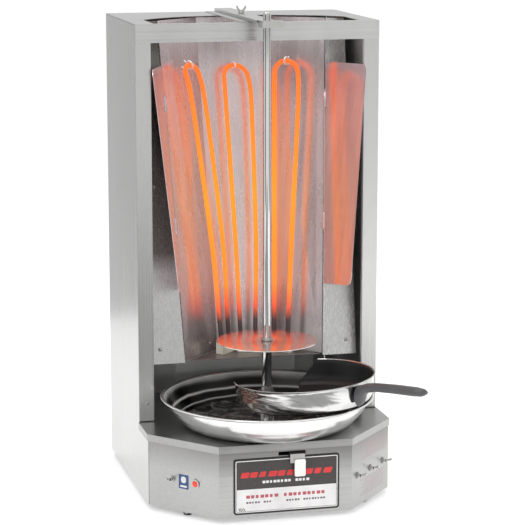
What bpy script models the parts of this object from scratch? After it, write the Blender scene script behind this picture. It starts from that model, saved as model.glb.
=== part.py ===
# Countertop vertical broiler: cabinet, leaning reflector with three hairpin heaters, turning spit on a
# sliding drive carriage, drip pan and crescent-cut skillet. Metres, +Z up, front towards -Y.
# The origin lies on the centre plane, below the cabinet's front opening, on the face of the access cover.
from math import cos, pi, radians, sin

import bmesh
import bpy
from mathutils import Matrix, Vector

# Cabinet
HALF_W = 0.2285
DEPTH = 0.302
TOP_Z = 0.870
SHEET = 0.0012
FLANGE_X = 0.2000
HEADER_Z = 0.836
# Base
CORNER_Y = -0.083
FRONT_Y = -0.201
FRONT_HALF = 0.123
DECK_Z = 0.135
PANEL_LOW_Z = 0.0015
# Spit and drive
SPIT_Y = -0.060
SLIDE_BACK = 0.004
SLIDE_FRONT = 0.030
SPIT_R = 0.0072
SPIT_TOP = 0.892
DISC_Z = 0.2904
DISC_R = 0.0928
# Reflector: values at z = 0.8 and change per metre down
REF_TOP = 0.8660
REF_LOW = 0.2385
EDGE = (0.1582, 0.1220)
EDGE_SLOPE = 0.0469
BEND = (0.0693, 0.2000)
BEND_SLOPE = 0.0286
LEAN = 0.1540
# Drip pan
PAN_R = 0.1970
# Skillet: centre and normal of its rim plane, rim radius, depth
SK_C = Vector((0.0550, -0.1180, 0.2365))
SK_N = Vector((-0.0574, 0.0206, 0.9981)).normalized()
SK_R = 0.1300
SK_H = 0.0480
SK_HANDLE_DEG = -57.0


for old in list(bpy.data.objects):
    bpy.data.objects.remove(old, do_unlink=True)
for old in list(bpy.data.collections):
    bpy.data.collections.remove(old)

PARTS = bpy.data.collections.new("vertical_broiler")
bpy.context.scene.collection.children.link(PARTS)
CUTTERS = bpy.data.collections.new("cutters")
CUTTERS.hide_render = True
bpy.context.scene.collection.children.link(CUTTERS)


def finish_of(name, colour, metallic, roughness):
    mat = bpy.data.materials.new(name)
    mat.use_nodes = True
    shader = mat.node_tree.nodes["Principled BSDF"]
    shader.inputs["Base Color"].default_value = (*colour, 1.0)
    shader.inputs["Metallic"].default_value = metallic
    shader.inputs["Roughness"].default_value = roughness
    return mat


STEEL = ((0.62, 0.61, 0.59), 1.0, 0.32)
BRIGHT = ((0.74, 0.73, 0.71), 1.0, 0.14)
ZINC = ((0.50, 0.50, 0.49), 1.0, 0.45)
GLOW = ((1.0, 0.24, 0.03), 0.0, 0.5)
CERAMIC = ((0.80, 0.76, 0.66), 0.0, 0.6)
RUBBER = ((0.03, 0.03, 0.03), 0.0, 0.8)
DARK = ((0.07, 0.07, 0.075), 0.0, 0.4)
WHITE = ((0.85, 0.84, 0.80), 0.0, 0.45)
RED = ((0.75, 0.03, 0.03), 0.0, 0.2)
PAINT = ((0.12, 0.13, 0.14), 0.0, 0.5)


def placed(obj, finish, cutter=False, smooth=False):
    """Links the object, and gives a part its own material."""
    if cutter:
        obj.hide_render = True
        obj.display_type = "WIRE"
        CUTTERS.objects.link(obj)
        return obj
    PARTS.objects.link(obj)
    obj.data.materials.append(finish_of(obj.name, *finish))
    if smooth and obj.type == "MESH":
        for face in obj.data.polygons:
            face.use_smooth = True
    return obj


def mesh_object(name, bm):
    bmesh.ops.remove_doubles(bm, verts=bm.verts, dist=1e-7)
    bmesh.ops.recalc_face_normals(bm, faces=bm.faces)
    mesh = bpy.data.meshes.new(name)
    bm.to_mesh(mesh)
    bm.free()
    return bpy.data.objects.new(name, mesh)


def loft(name, rings, finish, cutter=False, smooth=False):
    """Joins rings of equal point counts, first to last, and caps both ends."""
    bm = bmesh.new()
    rows = [[bm.verts.new(Vector(p)) for p in ring] for ring in rings]
    count = len(rows[0])
    for low, high in zip(rows, rows[1:]):
        for i in range(count):
            j = (i + 1) % count
            bm.faces.new((low[i], low[j], high[j], high[i]))
    bm.faces.new(rows[0][::-1])
    bm.faces.new(rows[-1])
    return placed(mesh_object(name, bm), finish, cutter, smooth)


def prism(name, outline, low, high, finish, cutter=False):
    rings = [[(x, y, z) for x, y in outline] for z in (low, high)]
    return loft(name, rings, finish, cutter)


def box(name, low, high, finish, cutter=False):
    (x0, y0, z0), (x1, y1, z1) = low, high
    return prism(name, [(x0, y0), (x1, y0), (x1, y1), (x0, y1)], z0, z1, finish, cutter)


def frame_at(origin, direction):
    """Matrix whose Z axis runs along direction."""
    turn = Vector(direction).normalized().to_track_quat("Z", "Y").to_matrix().to_4x4()
    return Matrix.Translation(Vector(origin)) @ turn


def cylinder(name, start, end, radius, finish, cutter=False, sides=24):
    start, end = Vector(start), Vector(end)
    bm = bmesh.new()
    length = (end - start).length
    bmesh.ops.create_cone(
        bm, cap_ends=True, segments=sides, radius1=radius, radius2=radius, depth=length
    )
    bmesh.ops.translate(bm, verts=bm.verts, vec=(0, 0, length / 2))
    bm.transform(frame_at(start, end - start))
    return placed(mesh_object(name, bm), finish, cutter)


def revolved(name, loop, matrix, finish, steps=32, cutter=False):
    """A loop of (radius, height) turned about the matrix's Z axis; an edge lying on the axis is left out."""
    area = sum(a[0] * b[1] - b[0] * a[1] for a, b in zip(loop, loop[1:] + loop[:1]))
    if area > 0:
        loop = loop[::-1]
    edges = []
    for i in range(len(loop)):
        j = (i + 1) % len(loop)
        if loop[i][0] > 0 or loop[j][0] > 0:
            edges.append((i, j))
    mesh = bpy.data.meshes.new(name)
    mesh.from_pydata([(r, 0.0, h) for r, h in loop], edges, [])
    obj = bpy.data.objects.new(name, mesh)
    obj.matrix_world = matrix
    screw = obj.modifiers.new("turn", "SCREW")
    screw.axis = "Z"
    screw.angle = 2 * pi
    screw.steps = steps
    screw.render_steps = steps
    screw.use_merge_vertices = True
    screw.merge_threshold = 1e-5
    screw.use_smooth_shade = True
    return placed(obj, finish, cutter)


def wire(name, points, radius, finish, resolution=2):
    """Round bar along a polyline, ends capped."""
    curve = bpy.data.curves.new(name, "CURVE")
    curve.dimensions = "3D"
    curve.bevel_depth = radius
    curve.bevel_resolution = resolution
    curve.use_fill_caps = True
    spline = curve.splines.new("POLY")
    spline.points.add(len(points) - 1)
    for spot, p in zip(spline.points, points):
        spot.co = (*p, 1.0)
    return placed(bpy.data.objects.new(name, curve), finish)


def boolean(obj, other, operation="DIFFERENCE"):
    step = obj.modifiers.new(other.name, "BOOLEAN")
    step.operation = operation
    step.solver = "EXACT"
    step.object = other
    return obj


def strip(path, thickness, side):
    """Outline of a bent sheet: the path, and the same path set off to one side by the thickness."""
    pts = [Vector(p) for p in path]
    off = []
    for i, p in enumerate(pts):
        normals = []
        for a, b in ((i - 1, i), (i, i + 1)):
            if a >= 0 and b < len(pts):
                d = (pts[b] - pts[a]).normalized()
                normals.append(Vector((-d.y, d.x)) * side)
        n = sum(normals, Vector((0, 0))).normalized()
        off.append(p + n * thickness / n.dot(normals[0]))
    return [tuple(p) for p in pts] + [tuple(p) for p in reversed(off)]


def side_panels():
    for s, name in ((-1, "side_panel_left"), (1, "side_panel_right")):
        path = [(s * FLANGE_X, 0.010), (s * FLANGE_X, 0.0003), (s * HALF_W, 0.0003)]
        path += [(s * HALF_W, DEPTH), (s * 0.2130, DEPTH)]
        upper = prism(name, strip(path, SHEET, s), DECK_Z + 0.0015, TOP_Z - 0.0015, STEEL)
        rear = [(s * HALF_W, DEPTH), (s * 0.2130, DEPTH)]
        path = [(s * HALF_W, CORNER_Y)] + rear
        low = prism(name + "_lower", strip(path, SHEET, s), PANEL_LOW_Z, DECK_Z - 0.0015, STEEL, True)
        path = [(s * HALF_W, 0.0003)] + rear
        mid = prism(name + "_web", strip(path, SHEET, s), DECK_Z - 0.0030, DECK_Z + 0.0030, STEEL, True)
        boolean(upper, low, "UNION")
        boolean(upper, mid, "UNION")


def back_panel():
    panel = box(
        "back_panel",
        (-0.2124, DEPTH - 0.0012, 0.0035),
        (0.2124, DEPTH, TOP_Z - 0.0015),
        STEEL,
    )
    for row in range(4):
        for s in (-1, 1):
            z = 0.045 + 0.014 * row
            x = s * 0.105
            slot = box(
                f"vent_cut_{row}_{s}", (x - 0.035, 0.29, z), (x + 0.035, 0.31, z + 0.004), STEEL, True
            )
            boolean(panel, slot)
    hole = cylinder("gland_cut", (0.17, 0.29, 0.06), (0.17, 0.31, 0.06), 0.0092, STEEL, True)
    boolean(panel, hole)


def top_cap():
    """Top plate with a turned-down header, cut by two vents whose rear edge is an arc about the spit."""
    cap = box(
        "top_cap", (-HALF_W, -0.0012, TOP_Z - SHEET), (HALF_W, DEPTH, TOP_Z), STEEL
    )
    header = box(
        "header_face", (-HALF_W, -0.0012, HEADER_Z), (HALF_W, 0.0, TOP_Z - 0.0004), STEEL, True
    )
    boolean(cap, header, "UNION")
    for s in (-1, 1):
        inner, outer, radius = 0.030, 0.193, 0.258
        arc = []
        for i in range(11):
            x = outer + (inner - outer) * i / 10
            arc.append((s * x, SPIT_Y + (radius**2 - x**2) ** 0.5))
        outline = [(s * inner, 0.010), (s * outer, 0.010)] + arc
        boolean(cap, prism(f"vent_opening_{s}", outline, 0.80, 0.90, STEEL, True))


def base_outline(grow=0.0):
    """Front outline of the base, left to right, set outwards by grow."""
    g = grow * 0.4
    return [
        (-HALF_W - grow, CORNER_Y - g),
        (-FRONT_HALF - g, FRONT_Y - grow),
        (FRONT_HALF + g, FRONT_Y - grow),
        (HALF_W + grow, CORNER_Y - g),
    ]


def deck():
    inner = HALF_W - 0.0018
    edge = base_outline(0.0016)
    outline = [(-inner, DEPTH - 0.0016), (-inner, 0.0), (-HALF_W - 0.0016, 0.0)]
    outline += edge + [(HALF_W + 0.0016, 0.0), (inner, 0.0), (inner, DEPTH - 0.0016)]
    plate = prism("deck_plate", outline, DECK_Z - SHEET, DECK_Z, STEEL)
    path = [(-HALF_W - 0.0016, -0.0002)] + edge + [(HALF_W + 0.0016, -0.0002)]
    lip = prism("deck_lip", strip(path, 0.0010, 1), 0.1220, DECK_Z - 0.0004, STEEL, True)
    boolean(plate, lip, "UNION")
    y0 = SPIT_Y - SLIDE_FRONT - 0.0125
    y1 = SPIT_Y + SLIDE_BACK + 0.0125
    boolean(plate, box("drive_slot", (-0.0125, y0, 0.12), (0.0125, y1, 0.15), STEEL, True))


def chamfer(s, along):
    """Point on the face of the chamfered base panel and its outward normal; s is -1 left, 1 right."""
    start = Vector((s * HALF_W, CORNER_Y, 0))
    end = Vector((s * FRONT_HALF, FRONT_Y, 0))
    run = (end - start).normalized()
    normal = Vector((s * abs(run.y), -abs(run.x), 0)).normalized()
    return start + run * along, normal, run


SWITCHES = (
    ("power", -1, 0.0541),
    ("heat_1", 1, 0.1339),
    ("heat_2", 1, 0.0784),
    ("heat_3", 1, 0.0233),
)
SWITCH_Z = 0.0595
LAMP_ALONG = 0.1059


def base_shell():
    path = base_outline()
    a, _, run = chamfer(-1, 0.0016)
    path[0] = (a.x, a.y)
    path[3] = (-a.x, a.y)
    shell = prism("base_front", strip(path, SHEET, 1), PANEL_LOW_Z, DECK_Z - 0.0016, STEEL)
    for label, s, along in SWITCHES:
        p, n, _ = chamfer(s, along)
        p.z = SWITCH_Z
        boolean(shell, cylinder(label + "_cut", p - n * 0.01, p + n * 0.01, 0.0036, STEEL, True, 16))
    p, n, _ = chamfer(-1, LAMP_ALONG)
    p.z = SWITCH_Z - 0.001
    boolean(shell, cylinder("lamp_cut", p - n * 0.01, p + n * 0.01, 0.0066, STEEL, True, 20))
    boolean(shell, box("handle_slot", (-0.014, -0.22, 0.1120), (0.036, -0.19, 0.1190), STEEL, True))
    x = HALF_W - 0.0018
    inner = strip(base_outline(), 0.0018, 1)[:3:-1]
    octagon = [(-x, DEPTH - 0.0022), (-x, inner[0][1]), inner[1], inner[2]]
    octagon += [(x, inner[3][1]), (x, DEPTH - 0.0022)]
    prism("bottom_pan", octagon, 0.0018, 0.0030, STEEL)
    box("access_cover", (-0.130, -0.105, 0.0), (0.130, 0.225, 0.0014), STEEL)
    spots = {"front_left": (-0.165, -0.128), "front_right": (0.165, -0.128)}
    spots.update({"rear_left": (-0.200, 0.270), "rear_right": (0.200, 0.270)})
    for label, (fx, fy) in spots.items():
        profile = [(0.0, 0.0014), (0.0085, 0.0014), (0.0085, -0.0040), (0.0068, -0.0080), (0.0, -0.0080)]
        revolved("foot_" + label, profile, Matrix.Translation((fx, fy, 0)), RUBBER, 20)


def edge_at(s, z):
    return Vector((s * (EDGE[0] - (0.8 - z) * EDGE_SLOPE), EDGE[1] - (0.8 - z) * LEAN, z))


def bend_at(s, z):
    return Vector((s * (BEND[0] - (0.8 - z) * BEND_SLOPE), BEND[1] - (0.8 - z) * LEAN, z))


def reflector():
    rings = []
    for z in (REF_LOW, REF_TOP):
        path = [edge_at(-1, z), bend_at(-1, z), bend_at(1, z), edge_at(1, z)]
        rings.append([(x, y, z) for x, y in strip([p.to_2d() for p in path], 0.0010, 1)])
    loft("reflector", rings, BRIGHT)
    for s, name in ((-1, "face_plate_left"), (1, "face_plate_right")):
        rings = []
        for z in (REF_LOW - 0.004, REF_TOP):
            y = edge_at(1, z).y
            path = [(edge_at(s, z).x + s * 0.0016, y), (s * 0.1995, y), (s * 0.1995, y + 0.070)]
            rings.append([(px, py, z) for px, py in strip(path, 0.0010, s)])
        loft(name, rings, STEEL)
    z = REF_LOW - 0.0010
    floor = [edge_at(-1, z).to_2d() + Vector((0.004, 0.001)), bend_at(-1, z).to_2d() + Vector((0, -0.002))]
    floor += [Vector((-floor[1].x, floor[1].y)), Vector((-floor[0].x, floor[0].y))]
    prism("reflector_floor", [tuple(p) for p in floor], REF_LOW - 0.0016, REF_LOW - 0.0004, STEEL)
    path = [(-0.165, 0.215), (-0.120, 0.190), (0.120, 0.190), (0.165, 0.215)]
    prism("lower_shield", strip(path, SHEET, 1), DECK_Z + 0.0004, 0.2300, STEEL)


# Heater legs: points down each of the two legs, from the crown to the cold end
HEATERS = {
    "left": (
        ((-0.1100, 0.1209, 0.7666), (-0.0986, 0.1156, 0.7067),
         (-0.0690, 0.0933, 0.4558), (-0.0591, 0.0817, 0.3258)),
        ((-0.0804, 0.1428, 0.7638), (-0.0689, 0.1369, 0.7035),
         (-0.0431, 0.1123, 0.4514), (-0.0382, 0.0996, 0.3210)),
    ),
    "centre": (
        ((-0.0273, 0.1628, 0.7549), (-0.0254, 0.1545, 0.7004),
         (-0.0171, 0.1160, 0.4496), (-0.0150, 0.0961, 0.3205)),
        ((0.0194, 0.1629, 0.7538), (0.0241, 0.1544, 0.6990),
         (0.0230, 0.1158, 0.4479), (0.0170, 0.0959, 0.3189)),
    ),
    "right": (
        ((0.0693, 0.1548, 0.7598), (0.0666, 0.1456, 0.6988),
         (0.0573, 0.1074, 0.4478), (0.0520, 0.0878, 0.3187)),
        ((0.1068, 0.1220, 0.7620), (0.1050, 0.1145, 0.7011),
         (0.0848, 0.0836, 0.4507), (0.0753, 0.0677, 0.3217)),
    ),
}
HEATER_R = 0.0043
HEATER_LOW = 0.2620


def heaters():
    for label, legs in HEATERS.items():
        down = []
        for leg in legs:
            leg = [Vector(p) for p in leg]
            last = leg[-1] - leg[-2]
            down.append(leg + [leg[-1] - last * ((leg[-1].z - HEATER_LOW) / last.z)])
        first, second = down
        t0, t1, b0, b1 = first[0], second[0], first[-1], second[-1]
        mid = (t0 + t1) / 2
        half = (t1 - t0) / 2
        up = ((t0 - first[1]).normalized() + (t1 - second[1]).normalized()).normalized()
        arc = []
        for i in range(9):
            a = pi - pi * i / 8
            arc.append(mid + half * cos(a) + up * half.length * sin(a))
        path = first[:0:-1] + arc + second[1:]
        wire("heater_" + label, [tuple(p) for p in path], HEATER_R, GLOW)
        run = (b1 - b0).to_2d().normalized()
        side = Vector((-run.y, run.x)) * 0.0080
        c0 = b0.to_2d() - run * 0.0070
        c1 = b1.to_2d() + run * 0.0070
        outline = [tuple(c0 - side), tuple(c1 - side), tuple(c1 + side), tuple(c0 + side)]
        prism("terminal_" + label, outline, REF_LOW, HEATER_LOW - 0.0016, CERAMIC)
        crown = mid + up * half.length
        back = Vector((-half.y, half.x, 0)).normalized()
        back = back if back.y > 0 else -back
        under = crown - up * (HEATER_R + 0.0026)
        reach = {"left": 0.0225, "centre": 0.0270, "right": 0.0245}[label]
        hook = [under + back * reach, under + back * 0.004, under - back * 0.006, under - back * 0.0095]
        hook[2] += up * 0.001
        hook[3] += up * 0.0065
        hook.append(under - back * 0.0075 + up * 0.0115)
        wire("hook_" + label, [tuple(p) for p in hook], 0.0015, ZINC, 1)


WING_AXIS_OUT = 0.0070


def wing_axis(s, z):
    return edge_at(s, z) + Vector((0, -WING_AXIS_OUT, 0))


def wings():
    """Sheets ruled from the hinge line to the free edge, in level strips so the slight twist stays even."""
    corners = ((0.7855, 0.2005, -0.0125, 0.7900), (0.3705, 0.1620, -0.0530, 0.3850))
    trims = [(0.0, 0.955), (0.008, 0.982)] + [(0.022 + 0.938 * k / 12, 1.0) for k in range(13)]
    trims += [(0.980, 0.990), (0.992, 0.965), (1.0, 0.900)]
    for s, label in ((-1, "left"), (1, "right")):
        edges = []
        for z_rear, x, y, z in corners:
            rear = wing_axis(s, z_rear)
            front = Vector((s * x, y, z))
            edges.append((rear + (front - rear).normalized() * 0.0030, front))
        (rt, ft), (rb, fb) = edges
        points = []
        for t, reach in trims:
            rear = rt.lerp(rb, t)
            points += [rear, rear.lerp(ft.lerp(fb, t), reach)]
        faces = []
        for i in range(0, len(points) - 2, 2):
            faces += [(i, i + 1, i + 3), (i, i + 3, i + 2)]
        mesh = bpy.data.meshes.new("wing_" + label)
        mesh.from_pydata([tuple(p) for p in points], [], faces)
        plate = placed(bpy.data.objects.new("wing_" + label, mesh), BRIGHT)
        sheet = plate.modifiers.new("sheet", "SOLIDIFY")
        sheet.thickness = 0.0010
        sheet.offset = 0.0
        for k, z in enumerate((0.700, 0.475)):
            a, b = wing_axis(s, z), wing_axis(s, z + 0.028)
            boolean(plate, cylinder(f"knuckle_{label}_{k}", a, b, 0.0040, BRIGHT, True, 16), "UNION")
        bore = cylinder("wing_bore_" + label, wing_axis(s, 0.36), wing_axis(s, 0.80), 0.0021, BRIGHT, True, 16)
        boolean(plate, bore)
        pin = [edge_at(s, 0.4700) + Vector((s * 0.004, -0.0025, 0)), wing_axis(s, 0.4700)]
        pin += [wing_axis(s, 0.7330), edge_at(s, 0.7330) + Vector((s * 0.004, -0.0025, 0))]
        wire("wing_pin_" + label, [tuple(p) for p in pin], 0.0018, ZINC, 2)


def drip_pan():
    outer = [(0.1960, 0.1906), (0.1970, 0.1893), (0.1962, 0.1878), (0.1915, 0.1862), (0.1862, 0.1780)]
    outer += [(0.1770, 0.1635), (0.1650, 0.1500), (0.1540, 0.1405), (0.1455, 0.1360), (0.1420, 0.1353)]
    stem = [(0.0120, 0.1353), (0.0120, 0.1975), (0.0152, 0.1975), (0.0148, 0.1935), (0.0134, 0.1915)]
    floor = [(0.0134, 0.1400), (0.0160, 0.1370), (0.0600, 0.1370), (0.0620, 0.1378), (0.1000, 0.1378)]
    wall = [(0.1020, 0.1370), (0.1420, 0.1371), (0.1535, 0.1421), (0.1640, 0.1514), (0.1757, 0.1647)]
    lip = [(0.1848, 0.1790), (0.1900, 0.1872), (0.1932, 0.1902)]
    revolved("drip_pan", outer + stem + floor + wall + lip, Matrix.Translation((0, SPIT_Y, 0)), BRIGHT, 64)


def skillet():
    across = Vector((0, 1, 0)).cross(SK_N).normalized()
    along = SK_N.cross(across)
    place = Matrix.Translation(SK_C) @ Matrix((across, along, SK_N)).transposed().to_4x4()
    outer = [(SK_R, 0.0), (0.1303, -0.0012), (0.1276, -0.0050), (0.1262, -0.0200), (0.1245, -0.0330)]
    outer += [(0.1205, -0.0425), (0.1130, -SK_H), (0.0, -SK_H)]
    inner = [(0.0, -0.0455), (0.1110, -0.0455), (0.1180, -0.0405), (0.1220, -0.0325), (0.1238, -0.0200)]
    inner += [(0.1252, -0.0050), (0.1285, 0.0)]
    pan = revolved("skillet_pan", outer + inner, place, BRIGHT, 64)
    rings = []
    for h in (-0.060, 0.010):
        radius = 0.125 + h * 0.86
        rings.append(
            [(-0.0664 + radius * cos(2 * pi * i / 72), 0.1198 + radius * sin(2 * pi * i / 72), h) for i in range(72)]
        )
    bite = loft("bite", rings, BRIGHT, cutter=True)
    bite.matrix_world = place
    boolean(pan, bite)
    a = radians(SK_HANDLE_DEG)
    out, side = Vector((cos(a), sin(a), 0)), Vector((-sin(a), cos(a), 0))

    def at(r, w, h):
        return place @ (out * r + side * w + Vector((0, 0, h)))

    stations = [(0.1306, -0.0225, 0.0195, 0.0140), (0.1370, -0.0200, 0.0180, 0.0135)]
    stations += [(0.1420, -0.0125, 0.0120, 0.0120), (0.1500, -0.0060, 0.0085, 0.0105)]
    stations += [(0.1750, -0.0020, 0.0078, 0.0110), (0.2150, 0.0000, 0.0080, 0.0125)]
    stations += [(0.2600, 0.0010, 0.0080, 0.0135), (0.2760, 0.0010, 0.0068, 0.0115), (0.2830, 0.0010, 0.0036, 0.0070)]
    rings = []
    for r, h, tall, wide in stations:
        ring = []
        for i in range(20):
            t = 2 * pi * i / 20
            ring.append(at(r, wide * cos(t), h + tall * sin(t)))
        rings.append(ring)
    loft("skillet_handle", rings, DARK, smooth=True)


def spit():
    here = Matrix.Translation((0, SPIT_Y, 0))
    rod = [(0.0, SPIT_TOP), (0.0052, SPIT_TOP), (SPIT_R, SPIT_TOP - 0.003), (SPIT_R, 0.1580), (0.0, 0.1580)]
    revolved("spit_rod", rod, here, BRIGHT, 24)
    disc = [(DISC_R, DISC_Z + 0.0016), (DISC_R, DISC_Z), (0.0110, DISC_Z), (0.0088, DISC_Z - 0.0030)]
    disc += [(0.0088, 0.2060), (0.0075, 0.2060), (0.0075, DISC_Z + 0.0016)]
    revolved("meat_disc", disc, here, STEEL, 64)
    ring = [(0.0100, DISC_Z + 0.0065), (0.0105, DISC_Z + 0.0019), (0.0075, DISC_Z + 0.0019), (0.0075, DISC_Z + 0.0065)]
    revolved("disc_collar", ring, here, ZINC, 24)
    hub = [(0.0104, 0.2050), (0.0104, 0.1146), (0.0058, 0.1146), (0.0058, 0.1112), (0.0, 0.1112)]
    hub += [(0.0, 0.1575), (0.0076, 0.1575), (0.0076, 0.2050)]
    revolved("drive_socket", hub, here, ZINC, 24)


def carriage():
    plate = box("carriage_plate", (-0.068, -0.135, 0.1110), (0.068, 0.045, 0.1135), ZINC)
    boolean(plate, cylinder("shaft_hole", (0, SPIT_Y, 0.10), (0, SPIT_Y, 0.12), 0.0068, ZINC, True, 20))
    for s, label in ((-1, "left"), (1, "right")):
        shape = [(s * 0.050, 0.1090), (s * 0.0720, 0.1090), (s * 0.0720, DECK_Z - 0.0016)]
        rows = []
        for y in (-0.178, 0.062):
            rows.append([(x, y, z) for x, z in strip(shape, 0.0015, s)])
        loft("rail_" + label, rows, ZINC)
    box("gearbox", (-0.036, -0.100, 0.0700), (0.036, 0.010, 0.1106), PAINT)
    can = [(0.0, 0.0697), (0.0310, 0.0697), (0.0310, 0.0160), (0.0280, 0.0130), (0.0, 0.0130)]
    revolved("gear_motor", can, Matrix.Translation((0, -0.040, 0)), PAINT, 32)
    shape = [(-0.100, 0.1140), (-0.2085, 0.1140), (-0.2085, 0.0990)]
    outline = strip(shape, 0.0015, -1)
    rows = [[(x, y, z) for y, z in outline] for x in (0.0055, 0.0325)]
    loft("handle_strap", rows, ZINC)
    grip = [(-0.2140, 0.1060), (-0.2105, 0.1060), (-0.2105, 0.0760), (-0.2120, 0.0745), (-0.2140, 0.0760)]
    rows = [[(x, y, z) for y, z in grip] for x in (0.0129, 0.0331)]
    loft("handle_tab", rows, WHITE)


def arm():
    box("arm_guide", (-0.034, 0.006, TOP_Z + 0.0003), (0.034, 0.2945, TOP_Z + 0.0013), STEEL)
    rows = []
    for y in (-0.0440, 0.2920):
        shape = [(-0.0165, TOP_Z + 0.0017), (-0.0165, TOP_Z + 0.0070), (0.0165, TOP_Z + 0.0070), (0.0165, TOP_Z + 0.0017)]
        rows.append([(x, y, z) for x, z in strip(shape, 0.0013, -1)])
    bar = loft("top_arm", rows, STEEL)
    boolean(bar, cylinder("screw_hole", (0, 0.137, 0.86), (0, 0.137, 0.90), 0.0034, STEEL, True, 16))
    outline = [(-0.0125, -0.0760), (0.0140, -0.0760), (0.0140, -0.0700), (0.0295, -0.0700), (0.0295, -0.0600)]
    outline += [(0.0140, -0.0600), (0.0140, -0.0444), (-0.0125, -0.0444)]
    fork = prism("spit_bush", outline, TOP_Z - 0.0050, TOP_Z + 0.0070, ZINC)
    boolean(fork, cylinder("bush_bore", (0, SPIT_Y, 0.85), (0, SPIT_Y, 0.89), 0.0076, ZINC, True, 32))
    stem = [(0.0, TOP_Z + 0.0118), (0.0055, TOP_Z + 0.0118), (0.0055, TOP_Z + 0.0074), (0.0030, TOP_Z + 0.0074)]
    stem += [(0.0030, TOP_Z + 0.0018), (0.0, TOP_Z + 0.0018)]
    screw = revolved("arm_screw", stem, Matrix.Translation((0, 0.137, 0)), ZINC, 20)
    shape = [(-0.0100, 0.8905), (-0.0085, 0.8915), (-0.0025, 0.8830), (0.0025, 0.8830), (0.0085, 0.8915)]
    shape += [(0.0100, 0.8905), (0.0045, 0.8800), (-0.0045, 0.8800)]
    rows = [[(x, y, z) for x, z in shape] for y in (-0.0012, 0.0012)]
    ears = loft("screw_ears", rows, ZINC, cutter=True)
    ears.location = (0, 0.137, 0)
    boolean(screw, ears, "UNION")


def controls():
    for label, s, along in SWITCHES:
        p, n, run = chamfer(s, along)
        p.z = SWITCH_Z
        place = frame_at(p, n)
        can = [(0.0, 0.0020), (0.0026, 0.0020), (0.0026, 0.0062), (0.0031, 0.0062), (0.0031, 0.0028)]
        can += [(0.0062, 0.0028), (0.0062, 0.0003), (0.0031, 0.0003), (0.0031, -0.0016)]
        can += [(0.0075, -0.0016), (0.0075, -0.0220), (0.0, -0.0220)]
        revolved("switch_" + label, can, place, ZINC, 20)
        tilt = radians(18)
        way = (n * cos(tilt) + Vector((0, 0, sin(tilt)))).normalized()
        root = p + n * 0.0048
        bat = [(0.0, 0.0150), (0.0014, 0.0147), (0.0021, 0.0132), (0.0011, 0.0010), (0.0, 0.0)]
        revolved("lever_" + label, bat, frame_at(root, way), BRIGHT, 16)
    p, n, run = chamfer(-1, LAMP_ALONG)
    p.z = SWITCH_Z - 0.001
    bezel = [(0.0086, 0.0022), (0.0086, 0.0003), (0.0062, 0.0003), (0.0062, -0.0150), (0.0056, -0.0150), (0.0056, 0.0022)]
    revolved("lamp_bezel", bezel, frame_at(p, n), ZINC, 24)
    lens = [(0.0, 0.0062), (0.0030, 0.0054), (0.0050, 0.0030), (0.0052, -0.0120), (0.0, -0.0120)]
    revolved("lamp_lens", lens, frame_at(p, n), RED, 24)
    box("name_plate", (-0.0970, -0.2030, 0.0072), (0.0990, -0.2014, 0.1102), PAINT)
    gland = [(0.0090, 0.0080), (0.0125, 0.0080), (0.0125, 0.0003), (0.0088, 0.0003), (0.0088, -0.0080), (0.0060, -0.0080), (0.0060, 0.0080)]
    revolved("cable_gland", gland, frame_at((0.17, DEPTH, 0.06), (0, 1, 0)), RUBBER, 24)


side_panels()
back_panel()
top_cap()
deck()
base_shell()
reflector()
heaters()
wings()
drip_pan()
skillet()
spit()
carriage()
arm()
controls()
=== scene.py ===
"""Looks for the countertop vertical broiler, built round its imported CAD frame."""

from math import cos, pi, radians, sin

import bmesh
import bpy
from mathutils import Matrix, Vector

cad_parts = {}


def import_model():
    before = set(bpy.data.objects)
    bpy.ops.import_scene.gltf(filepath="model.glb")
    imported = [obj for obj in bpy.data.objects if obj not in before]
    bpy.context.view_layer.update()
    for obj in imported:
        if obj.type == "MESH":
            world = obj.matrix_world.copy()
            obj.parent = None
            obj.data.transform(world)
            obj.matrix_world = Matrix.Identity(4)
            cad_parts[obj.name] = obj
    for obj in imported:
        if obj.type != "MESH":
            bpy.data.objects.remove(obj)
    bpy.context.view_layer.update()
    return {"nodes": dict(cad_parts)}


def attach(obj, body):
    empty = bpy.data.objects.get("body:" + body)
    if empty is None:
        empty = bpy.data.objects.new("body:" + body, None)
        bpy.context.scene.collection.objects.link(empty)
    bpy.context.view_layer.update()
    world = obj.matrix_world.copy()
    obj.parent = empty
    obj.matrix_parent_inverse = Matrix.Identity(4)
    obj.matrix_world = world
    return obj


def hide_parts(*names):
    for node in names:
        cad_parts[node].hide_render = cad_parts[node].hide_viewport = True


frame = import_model()
NODES = frame["nodes"]

# Sizes shared with the CAD, in metres
HALF_W, DEPTH, TOP_Z = 0.2285, 0.302, 0.870
CORNER_Y, FRONT_Y, FRONT_HALF = -0.083, -0.201, 0.123
SPIT_Y, SPIT_R, SPIT_TOP = -0.060, 0.0072, 0.892
DISC_Z, DISC_R = 0.2904, 0.0928
# The reflector and the shields lean: each metre up puts them LEAN metres further back
LEAN, LEAN_Z = 0.1540, 0.8
SWITCH_Z, LAMP_ALONG = 0.0595, 0.1059
# Skillet: centre and normal of its rim, rim radius, depth, and the handle's bearing
SK_C = Vector((0.0550, -0.1180, 0.2365))
SK_N = Vector((-0.0574, 0.0206, 0.9981)).normalized()
SK_R, SK_H, SK_DEG = 0.1300, 0.0480, -57.0
SPIT_AT = Matrix.Translation((0, SPIT_Y, 0))

MADE = bpy.data.collections.new("looks")
bpy.context.scene.collection.children.link(MADE)


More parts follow.
